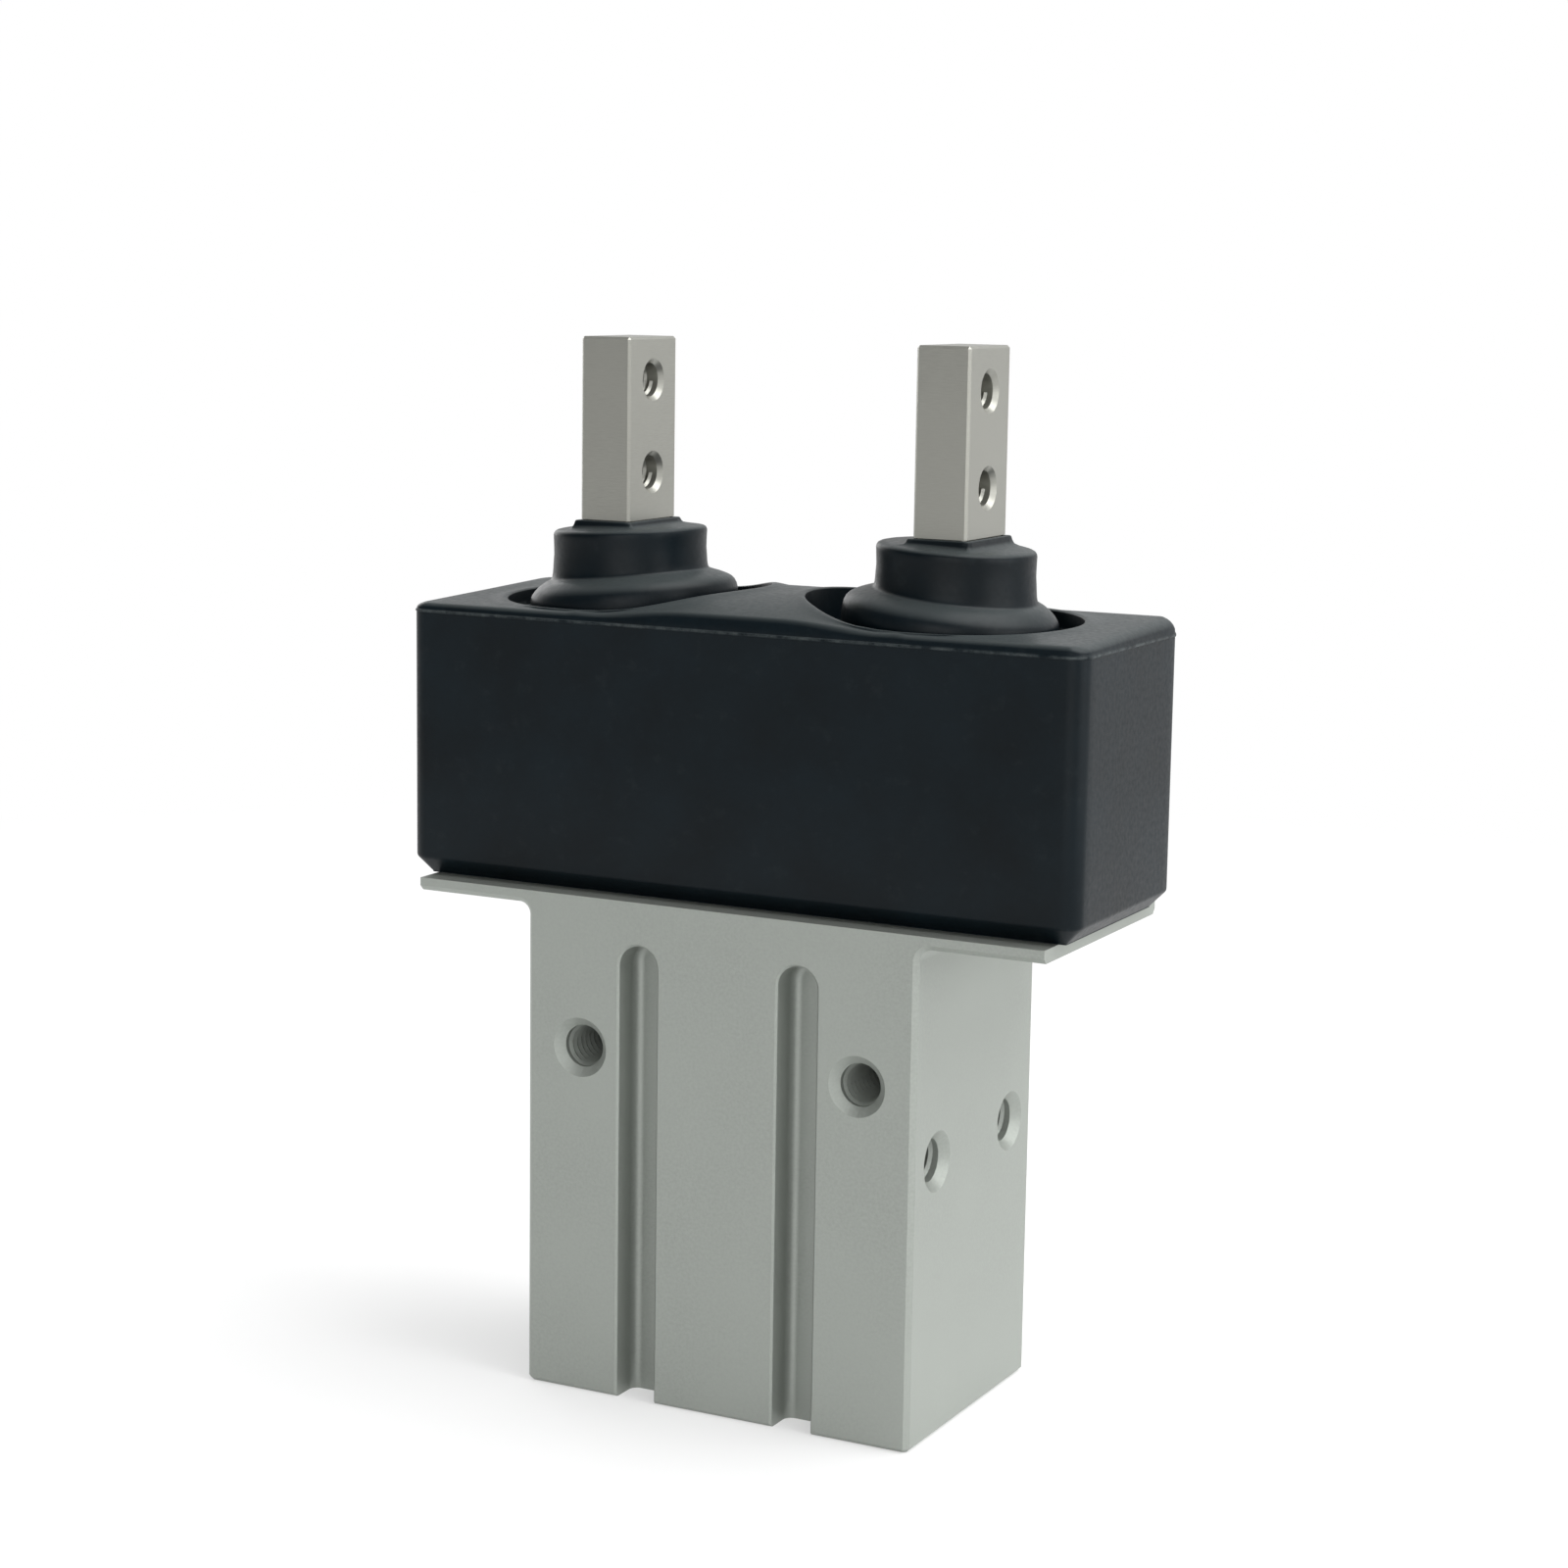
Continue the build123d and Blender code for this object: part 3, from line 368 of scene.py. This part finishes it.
class GRIPPER_OT_dust_cover(bpy.types.Operator):
    """Models the rubber cover with its arched roof, parting bead and recesses"""
    bl_idname = "gripper.dust_cover"
    bl_label = "Dust cover"

    def execute(self, context):
        sizes = context.scene.gripper_cover
        low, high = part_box("dust_cover")
        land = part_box("body")[1].z
        half_x, half_y = high.x, high.y
        end_z = high.z - sizes.end_sink
        floor_z = end_z - sizes.recess_sink
        bead_z = end_z - sizes.bead_drop
        whole = outline(half_x, half_y, sizes.corner, (30, 7, 18, 18))
        hub = Vector((sizes.recess_x, 0.0))
        directions = [(Vector(p[:2]) - hub).normalized() for p in whole]

        def roof(x, y):
            run = min(1.0, max(0.0, (abs(x) - sizes.crown_near) / (sizes.crown_far - sizes.crown_near)))
            fall = 1 - min(1.0, abs(y + sizes.crown_shift) / (half_y + sizes.crown_shift)) ** sizes.crown_power
            return end_z + sizes.crown * (1 - run * run * (3 - 2 * run)) * fall

        def walls(inset, end_inset=None):
            along = inset if end_inset is None else end_inset
            return [(x - out_x * along, y - out_y * inset) for x, y, out_x, out_y in whole]

        slot_x, slot_half = 15.5 * MM, (5.55 * MM, 4.9 * MM)
        slot = radial(directions, slot_x, slot_half[0], power=10.0, radius_y=slot_half[1])
        rim = recess_ring(sizes, directions)
        top_of_bead = bead_z + sizes.bead_height / 2 + 0.05 * MM

        def lipped(ring):
            gaps = [math.dist(a, b) / sizes.lip_width for a, b in zip(ring, rim)]
            lifts = [math.sin(math.pi * min(1.0, gap) ** 0.5) for gap in gaps]
            return {point: roof(*point) + sizes.recess_lip * lift for point, lift in zip(ring, lifts)}

        rings = Rings(slot, floor_z)
        for shrink, rise in ((0.9, 0.0), (0.3, 0.0), (0.12, 0.05), (0.03, 0.14), (0.0, 0.3)):
            rings.grow(recess_ring(sizes, directions, -shrink * MM), floor_z + rise * MM)
        rings.grow(rim, lambda x, y: roof(x, y) - 0.15 * MM)
        for grow in (0.02, 0.08, 0.18, 0.3, 0.42, 0.55):
            ring = recess_ring(sizes, directions, grow * MM)
            tops = lipped(ring)
            rings.grow(ring, lambda x, y, t=tops: t[x, y])
        inner, outer = ring, walls(sizes.edge, sizes.end_edge)
        for part in (0.06, 0.14, 0.25, 0.5, 0.75, 1.0):
            between = [(a[0] + (b[0] - a[0]) * part, a[1] + (b[1] - a[1]) * part) for a, b in zip(inner, outer)]
            tops = lipped(between)
            rings.grow(between, lambda x, y, t=tops: t[x, y])
        edge_tops = [tops[point] for point in between]
        for k in range(1, 7):
            turn = math.pi / 2 * k / 6
            left = 1 - math.sin(turn)
            ring = walls(sizes.edge * left, sizes.end_edge * left)
            tops = {p: top_of_bead + (top - top_of_bead) * math.cos(turn) for p, top in zip(ring, edge_tops)}
            rings.grow(ring, lambda x, y, t=tops: t[x, y])
        half = sizes.bead_height / 2
        for out, rise in ((1.0, 0.6), (1.15, 0.0), (1.0, -0.6), (0.0, -1.0)):
            rings.grow(walls(-sizes.bead * out), bead_z + half * rise)
        for z in (bead_z - 4 * MM, (bead_z + low.z) / 2, low.z + sizes.bevel + 0.3 * MM):
            rings.grow(walls(0.0), z)
        for inset, rise in ((0.03, 0.06), (0.12, -0.06), (1.0, -0.95), (1.0, -1.0)):
            rings.grow(walls(sizes.bevel * inset), low.z + sizes.bevel * (1 + rise))
        lip = (half_x - 30.6 * MM, half_y - 8.8 * MM)
        lip_ring = [(p[0] * (1 - lip[0] / half_x), p[1] * (1 - lip[1] / half_y)) for p in whole]
        rings.grow(lip_ring, low.z)
        rings.grow(lip_ring, land)
        rings.grow(walls(sizes.wall), land)
        rings.grow(walls(sizes.wall), floor_z - 1.3 * MM)
        rings.grow(slot, floor_z - 1.3 * MM)
        rings.close()
        bm = rings.bm
        flat = [f for f in bm.faces if all(abs(v.co.x) < 1e-6 for v in f.verts)]
        bmesh.ops.delete(bm, geom=flat, context="FACES")
        bmesh.ops.mirror(bm, geom=bm.verts[:] + bm.edges[:] + bm.faces[:], merge_dist=1e-6, axis="X")
        for vert in bm.verts:
            share = min(1.0, max(0.0, (vert.co.z - bead_z) / (end_z - bead_z)))
            vert.co.z += share * (sizes.skew_x * vert.co.x / half_x + sizes.skew_y * vert.co.y / half_y)
        cover = rings.finish("dust_cover_rubber", 40)
        cover.data.materials.append(bpy.data.materials["cover rubber"])
        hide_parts("dust_cover")
        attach(cover, "casing")
        return {"FINISHED"}


class GRIPPER_OT_bellows(bpy.types.Operator):
    """Models both bellows from the web in the recess up to the lip round the finger"""
    bl_idname = "gripper.bellows"
    bl_label = "Bellows"

    def execute(self, context):
        for name, side in SIDES.items():
            self.one(context, name, side)
        return {"FINISHED"}

    def one(self, context, name, side):
        """One bellows: outer rings up to the lip, then the inside back down to the web."""
        sizes, cover = context.scene.gripper_bellows, context.scene.gripper_cover
        low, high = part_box(f"bellows_{name}")
        centre = abs(low.x + high.x) / 2
        turns = [2 * math.pi * k / sizes.rings for k in range(sizes.rings)]
        directions = [(math.cos(a), math.sin(a)) for a in turns]
        fold = centre - sizes.fold_shift
        web = low.z - 0.22 * MM
        foot, rim = web + sizes.collar_foot, web + sizes.collar_rim

        round_x = centre - sizes.collar_shift

        def ring(radius, at):
            return radial(directions, at, radius)

        def stem(gap):
            wide, deep = 2.75 * MM + gap, 4.6 * MM + gap
            points = [(dx * reach, dy * reach) for dx, dy in directions
                      for reach in [min(wide / max(abs(dx), 1e-6), deep / max(abs(dy), 1e-6))]]
            for x, y in ((wide, deep), (-wide, deep), (-wide, -deep), (wide, -deep)):
                nearest = min(range(len(points)), key=lambda k: math.hypot(points[k][0] - x, points[k][1] - y))
                points[nearest] = (x, y)
            return [(centre + x, y) for x, y in points]

        def tilted(z, share=1.0):
            return lambda x, y: z + math.tan(sizes.tilt) * share * (centre - x)

        bulge = [(0.1, 0.0, 0.34, 0.0), (0.0, 0.0, 1.0, 0.15), (0.0, 0.0, 1.6, 0.4), (0.05, 0.0, 2.15, 0.7),
                 (0.17, 0.0, 2.52, 0.85), (0.36, 0.03, 2.84, 0.95), (0.6, 0.08, 3.1, 1.0), (0.9, 0.16, 3.33, 1.0),
                 (1.24, 0.26, 3.53, 1.0), (1.58, 0.38, 3.71, 1.0), (1.9, 0.46, 3.85, 1.0), (2.14, 0.5, 3.95, 1.0)]
        collar = [(0.36, 0.03, 1.0), (0.22, 0.12, 1.0), (0.13, 0.3, 0.97), (0.07, 0.6, 0.93), (0.03, 1.05, 0.88),
                  (0.0, 1.6, 0.8), (-sizes.waist / MM, 2.4, 0.7)]
        outer = [(recess_ring(cover, directions, -0.06 * MM), web + 0.2 * MM),
                 (recess_ring(cover, directions, -0.2 * MM), web + 0.24 * MM)]
        outer += [(ring(sizes.fold_radius - shrink * MM, fold + shift * MM), tilted(web + rise * MM, share))
                  for shrink, shift, rise, share in bulge]
        outer += [(ring(sizes.collar_radius + grow * MM, round_x), tilted(foot + rise * MM, share))
                  for grow, rise, share in collar]
        outer += [(ring(sizes.collar_radius - shrink * MM, round_x), tilted(rim + rise * MM, 0.5))
                  for shrink, rise in ((0.04, -1.4), (0.02, -0.85), (0.0, -0.5), (0.04, -0.3), (0.15, -0.12),
                                       (0.35, -0.01), (0.6, 0.05), (0.85, 0.09))]
        lip = [(stem(0.6 * MM), tilted(rim + 0.26 * MM, 0.4)), (stem(0.46 * MM), tilted(rim + 0.5 * MM, 0.2)),
               (stem(0.38 * MM), rim + 0.76 * MM), (stem(0.3 * MM), rim + 0.88 * MM),
               (stem(0.16 * MM), rim + 0.9 * MM), (stem(0.02 * MM), rim + 0.86 * MM), (stem(0.02 * MM), rim - 0.6 * MM),
               (stem(-0.25 * MM), rim - 0.7 * MM), (stem(-0.25 * MM), rim - 2.1 * MM)]
        inside = [(ring(sizes.collar_radius - 1.3 * MM, centre), tilted(rim - 2.1 * MM, 0.6)),
                  (ring(sizes.collar_radius - 1.3 * MM, centre), tilted(foot - 0.3 * MM)),
                  (ring(sizes.fold_radius - 2.6 * MM, fold + 0.5 * MM), tilted(foot - 1.1 * MM)),
                  (ring(sizes.fold_radius - 1.3 * MM, fold + 0.2 * MM), tilted(web + 1.6 * MM, 0.6)),
                  (ring(sizes.fold_radius - 1.1 * MM, fold), web + 0.05 * MM)]
        rings = Rings(*outer[0])
        for points, height in outer[1:] + lip + inside + [(outer[0][0], web)]:
            rings.grow(points, height)
        rings.close()
        if side < 0:
            bmesh.ops.scale(rings.bm, vec=(-1, 1, 1), verts=rings.bm.verts)
        bellows = rings.finish(f"bellows_rubber_{name}", 60)
        bellows.data.materials.append(bpy.data.materials["bellows rubber"])
        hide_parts(f"bellows_{name}")
        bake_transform(bellows)


class GRIPPER_OT_threads(bpy.types.Operator):
    """Models the ridges in the tapped holes of the body and the fingers"""
    bl_idname = "gripper.threads"
    bl_label = "Threads"

    def execute(self, context):
        sizes = context.scene.gripper_threads
        low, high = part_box("body")
        body_x = 21.0 * MM
        large = (sizes.large_core / 2, sizes.large_pitch, sizes.height)
        small = (sizes.small_core / 2, sizes.small_pitch, sizes.height)
        holes = []
        for side in SIDES.values():
            for facing, face in ((1, low.y), (-1, high.y)):
                holes.append((Vector((side * 15 * MM, face, 34.8 * MM)), Vector((0, facing, 0)), 8))
            holes.append((Vector((side * 15 * MM, 0, 0)), Vector((0, 0, 1)), 9))
            holes.append((Vector((body_x, side * 8.5 * MM, 27.2 * MM)), Vector((-1, 0, 0)), 4.5))
        self.ridges("body_threads", "casing", holes, large, 0.9 * MM, "anodised body", "anodised_aluminium")
        for name, side in SIDES.items():
            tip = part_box(f"finger_{name}")[1].z
            holes = [(Vector((side * 18 * MM - 2.75 * MM, 0, tip - drop * MM)), Vector((1, 0, 0)), 4.4)
                     for drop in (4.2, 13.2)]
            self.ridges(f"finger_threads_{name}", f"{name}_finger", holes, small, 0.5 * MM, "ground steel",
                        "finger_steel")
        return {"FINISHED"}

    def ridges(self, name, body, holes, thread, start, finish, slot):
        """One object with a helical ridge in each hole."""
        radius, pitch, height = thread
        bm = bmesh.new()
        for mouth, inward, length in holes:
            across = inward.orthogonal().normalized()
            first = mouth + inward * start
            section = [first + across * (radius + 0.04 * MM), first + across * (radius - height) + inward * pitch / 2,
                       first + across * (radius + 0.04 * MM) + inward * pitch * 0.92]
            verts = [bm.verts.new(p) for p in section]
            face = bm.faces.new(verts)
            edges = face.edges[:]
            turns = (length * MM - 2 * start) / pitch
            steps = int(24 * turns)
            made = bmesh.ops.spin(bm, geom=edges, cent=mouth, axis=inward, dvec=inward * pitch * turns / steps,
                                  angle=2 * math.pi * turns, steps=steps, use_merge=False)
            ends = [e for e in made["geom_last"] if isinstance(e, bmesh.types.BMEdge)]
            bmesh.ops.contextual_create(bm, geom=ends)
        bmesh.ops.recalc_face_normals(bm, faces=bm.faces)
        made = smooth_object(bm, name, 30)
        made.data.materials.append(bpy.data.materials[finish])
        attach(made, body)


class GRIPPER_OT_finishes(bpy.types.Operator):
    """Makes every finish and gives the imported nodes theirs"""
    bl_idname = "gripper.finishes"
    bl_label = "Finishes"

    def execute(self, context):
        colours, cover = context.scene.gripper_colours, context.scene.gripper_cover
        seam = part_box("dust_cover")[1].z - cover.end_sink - cover.bead_drop
        made = {
            "anodised body": satin_metal("anodised body", colours.body, 0.55, (0.4, 0.52), 3200.0),
            "ground steel": satin_metal("ground steel", colours.finger, 0.85, (0.3, 0.42), 900.0, (1, 1, 14)),
            # the dust colour also carries the painted sheen on upward faces and the painted highlight along the seam
            "cover rubber": moulded_rubber("cover rubber", colours.rubber, colours.dust_and_sheen, seam=seam),
            "bellows rubber": moulded_rubber("bellows rubber", shade(colours.rubber, 0.9), colours.dust_and_sheen, 0.3),
            "turned cap": satin_metal("turned cap", (0.5, 0.5, 0.51), 0.8, (0.3, 0.42), 1400.0),
            "blued spring": satin_metal("blued spring", (0.06, 0.065, 0.08), 1.0, (0.3, 0.45), 1800.0),
            "black seal": moulded_rubber("black seal", (0.012, 0.012, 0.013), (0.05, 0.05, 0.05), 0.1),
            "buffer rubber": moulded_rubber("buffer rubber", (0.16, 0.05, 0.02), (0.2, 0.1, 0.06), 0.1),
            "piston alloy": satin_metal("piston alloy", (0.55, 0.55, 0.56), 0.9, (0.26, 0.38), 1500.0),
            "magnet": satin_metal("magnet", (0.035, 0.032, 0.03), 0.2, (0.5, 0.65), 2400.0),
            "chromed rod": satin_metal("chromed rod", (0.62, 0.63, 0.65), 1.0, (0.08, 0.16), 900.0, (1, 1, 0.1)),
            "blackened screw": satin_metal("blackened screw", (0.03, 0.03, 0.033), 0.7, (0.35, 0.5), 2600.0),
            "guide steel": satin_metal("guide steel", (0.4, 0.4, 0.41), 1.0, (0.2, 0.32), 1100.0, (0.08, 1, 1)),
            "lever steel": satin_metal("lever steel", (0.22, 0.21, 0.2), 0.9, (0.35, 0.5), 2200.0),
            "bright pin": satin_metal("bright pin", (0.55, 0.55, 0.56), 1.0, (0.12, 0.22), 1500.0),
        }
        given = {
            "anodised body": ["body"], "turned cap": ["end_cap"], "blued spring": ["retaining_ring"],
            "black seal": ["end_cap_o_ring", "rod_seal", "piston_seal"],
            "buffer rubber": ["head_bumper", "rod_bumper"], "piston alloy": ["piston"], "magnet": ["magnet"],
            "chromed rod": ["piston_rod"], "blackened screw": ["piston_screw", "guide_screws"],
            "guide steel": ["finger_guide"], "cover rubber": ["dust_cover"],
            "ground steel": ["finger_left", "finger_right"],
            "lever steel": ["lever_left", "lever_right"],
            "bellows rubber": ["bellows_left", "bellows_right"],
            "bright pin": ["lever_shaft_left", "lever_shaft_right", "balls_left", "balls_right",
                           "ball_stop_pins", "rod_seal_retainer"],
        }
        for finish, names in given.items():
            for name in names:
                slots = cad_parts[name].data.materials
                slots.clear()
                slots.append(made[finish])
        missing = [n for n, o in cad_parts.items() if o.data.materials[0].name not in made]
        if missing:
            raise RuntimeError(f"no finish for {missing}")
        return {"FINISHED"}


class GRIPPER_OT_stage(bpy.types.Operator):
    """Sets the floor, the white surroundings, the lamps and the camera"""
    bl_idname = "gripper.stage"
    bl_label = "Stage"

    def execute(self, context):
        self.floor(context)
        self.world(context)
        for name, place, size, power in (
                ("top softbox", (0.4, 0.1, 0.85), 0.8, 7.5),
                ("right softbox", (0.9, 0.0, 0.15), 0.7, 4.5),
                ("front softbox", (0.3, -1.0, 0.25), 0.8, 4.5),
                ("left softbox", (-0.7, 0.45, 0.3), 0.5, 1.6)):
            lamp = bpy.data.lights.new(name, "AREA")
            lamp.shape, lamp.size, lamp.energy = "SQUARE", size, power
            made = bpy.data.objects.new(name, lamp)
            made.location = place
            aim = Vector((0, 0, 0.05)) - Vector(place)
            made.rotation_euler = aim.to_track_quat("-Z", "Y").to_euler()
            context.scene.collection.objects.link(made)
        context.scene.view_settings.view_transform = "Standard"
        self.camera(context)
        return {"FINISHED"}

    def floor(self, context):
        """A round floor that keeps the shadow near the object and goes white further out."""
        bm = bmesh.new()
        bmesh.ops.create_circle(bm, cap_ends=True, radius=30.0, segments=64)
        mesh = bpy.data.meshes.new("floor")
        bm.to_mesh(mesh)
        bm.free()
        floor = bpy.data.objects.new("floor", mesh)
        floor.location.z = -0.00002
        context.scene.collection.objects.link(floor)
        nodes = Nodes("pale floor")
        nodes.shader.inputs["Base Color"].default_value = (*context.scene.gripper_colours.floor, 1.0)
        nodes.shader.inputs["Roughness"].default_value = 0.9
        nodes.shader.inputs["Specular IOR Level"].default_value = 0.1
        glow = nodes.add("ShaderNodeEmission")
        glow.inputs["Strength"].default_value = 1.0
        path = nodes.add("ShaderNodeLightPath")
        either = nodes.add("ShaderNodeMath", operation="MAXIMUM")
        nodes.link(path.outputs["Is Camera Ray"], either.inputs[0])
        nodes.link(path.outputs["Is Glossy Ray"], either.inputs[1])
        length = nodes.add("ShaderNodeVectorMath", operation="LENGTH")
        nodes.link(nodes.place, length.inputs[0])
        fade = nodes.spread(length.outputs["Value"], 0.45, 1.0, 0.05, 0.35)
        share = nodes.add("ShaderNodeMath", operation="MULTIPLY")
        nodes.link(either.outputs[0], share.inputs[0])
        nodes.link(fade, share.inputs[1])
        mix = nodes.add("ShaderNodeMixShader")
        nodes.link(share.outputs[0], mix.inputs[0])
        nodes.link(nodes.shader.outputs[0], mix.inputs[1])
        nodes.link(glow.outputs[0], mix.inputs[2])
        nodes.link(mix.outputs[0], nodes.tree.nodes["Material Output"].inputs["Surface"])
        floor.data.materials.append(nodes.material)

    def world(self, context):
        """Soft light that is stronger from behind and the right, and white where the camera sees past the floor."""
        world = bpy.data.worlds.new("studio")
        context.scene.world = world
        world.use_nodes = True
        tree = world.node_tree
        soft = tree.nodes["Background"]
        soft.inputs["Color"].default_value = (1, 1, 1, 1)
        place = tree.nodes.new("ShaderNodeTexCoord")
        dot = tree.nodes.new("ShaderNodeVectorMath")
        dot.operation = "DOT_PRODUCT"
        dot.inputs[1].default_value = Vector((0.62, 0.7, 0.35)).normalized()
        level = tree.nodes.new("ShaderNodeMapRange")
        for key, number in (("From Min", -0.75), ("From Max", 0.75), ("To Min", 0.1), ("To Max", 0.95)):
            level.inputs[key].default_value = number
        tree.links.new(place.outputs["Generated"], dot.inputs[0])
        tree.links.new(dot.outputs["Value"], level.inputs["Value"])
        tree.links.new(level.outputs["Result"], soft.inputs["Strength"])
        white = tree.nodes.new("ShaderNodeBackground")
        white.inputs["Color"].default_value = (1, 1, 1, 1)
        white.inputs["Strength"].default_value = 1.0
        path = tree.nodes.new("ShaderNodeLightPath")
        mix = tree.nodes.new("ShaderNodeMixShader")
        tree.links.new(path.outputs["Is Camera Ray"], mix.inputs[0])
        tree.links.new(soft.outputs[0], mix.inputs[1])
        tree.links.new(white.outputs[0], mix.inputs[2])
        tree.links.new(mix.outputs[0], tree.nodes["World Output"].inputs["Surface"])

    def camera(self, context):
        """The camera at the photograph's viewing angle."""
        turn, rise, roll = (math.radians(a) for a in (27.276, 9.144, 0.855))
        back = Vector((math.sin(turn) * math.cos(rise), -math.cos(turn) * math.cos(rise), math.sin(rise)))
        target = Vector((-0.193, 0.0, 60.193)) * MM
        data = bpy.data.cameras.new("camera")
        data.sensor_width = 36.0
        data.lens = 3304.73 / 1600 * data.sensor_width
        data.clip_start, data.clip_end = 0.01, 200.0
        camera = bpy.data.objects.new("camera", data)
        camera.location = target + back * 316.719 * MM
        camera.rotation_mode = "QUATERNION"
        camera.rotation_quaternion = Quaternion(back, roll) @ (-back).to_track_quat("-Z", "Y")
        context.scene.collection.objects.link(camera)
        context.scene.camera = camera


class GRIPPER_PT_panel(bpy.types.Panel):
    """Lists the gripper's pieces"""
    bl_idname = "GRIPPER_PT_panel"
    bl_label = "Gripper"
    bl_space_type = "VIEW_3D"
    bl_region_type = "UI"
    bl_category = "Gripper"

    def draw(self, context):
        for operator in (GRIPPER_OT_finishes, GRIPPER_OT_dust_cover, GRIPPER_OT_bellows, GRIPPER_OT_threads,
                         GRIPPER_OT_stage):
            self.layout.operator(operator.bl_idname)


CLASSES = (GripperCoverSizes, GripperBellowsSizes, GripperThreadSizes, GripperColours, GRIPPER_OT_finishes,
           GRIPPER_OT_dust_cover, GRIPPER_OT_bellows, GRIPPER_OT_threads, GRIPPER_OT_stage, GRIPPER_PT_panel)
SETTINGS = {"gripper_cover": GripperCoverSizes, "gripper_bellows": GripperBellowsSizes,
            "gripper_threads": GripperThreadSizes, "gripper_colours": GripperColours}


def register():
    for cls in CLASSES:
        bpy.utils.register_class(cls)
    for name, group in SETTINGS.items():
        setattr(bpy.types.Scene, name, PointerProperty(type=group))


def unregister():
    for name in SETTINGS:
        delattr(bpy.types.Scene, name)
    for cls in reversed(CLASSES):
        bpy.utils.unregister_class(cls)


def main():
    """Makes every piece in order."""
    register()
    bpy.ops.gripper.finishes()
    bpy.ops.gripper.dust_cover()
    bpy.ops.gripper.bellows()
    bpy.ops.gripper.threads()
    bpy.ops.gripper.stage()


if __name__ == "__main__":
    main()
